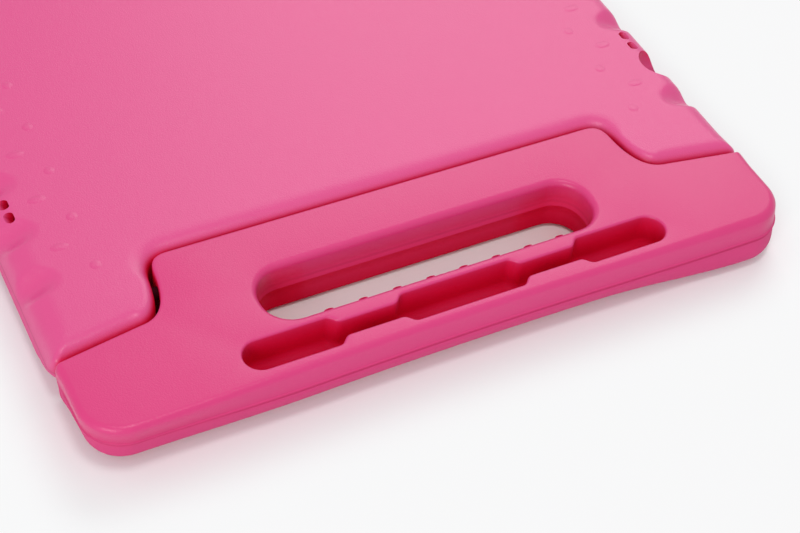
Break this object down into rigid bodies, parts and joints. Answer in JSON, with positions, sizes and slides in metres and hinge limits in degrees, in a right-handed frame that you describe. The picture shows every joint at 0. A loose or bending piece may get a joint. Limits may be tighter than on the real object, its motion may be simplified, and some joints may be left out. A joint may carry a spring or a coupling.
{
  "type": "tablet case with folding handle",
  "caption": "Foam bumper case for a tablet, with a folding carry handle that has a finger slot and a stylus groove and doubles as a stand.",
  "frame": {"origin": "under the middle of the whole case, on the plane of its front rim, with the case lying screen side down", "axes": "+X along the handle, +Y from the handle towards the far edge, +Z out of the back of the case"},
  "size_m": [0.2966, 0.2744, 0.0253],
  "materials": {
    "shell_foam": "satin, finely grained moulded foam",
    "handle_foam": "satin, finely grained moulded foam",
    "pin_plastic": "smooth moulded nylon"
  },
  "bodies": {
    "shell": {"case_shell": "shell_foam", "hinge_pin_left": "pin_plastic", "hinge_pin_right": "pin_plastic"},
    "handle": {"carry_handle": "handle_foam"}
  },
  "joints": [
    {"name": "handle_fold", "type": "hinge", "parent": "shell", "child": "handle", "pos_m": [0, -0.07571, 0.0195], "axis": [-1, 0, 0], "range_deg": [0, 110]}
  ]
}
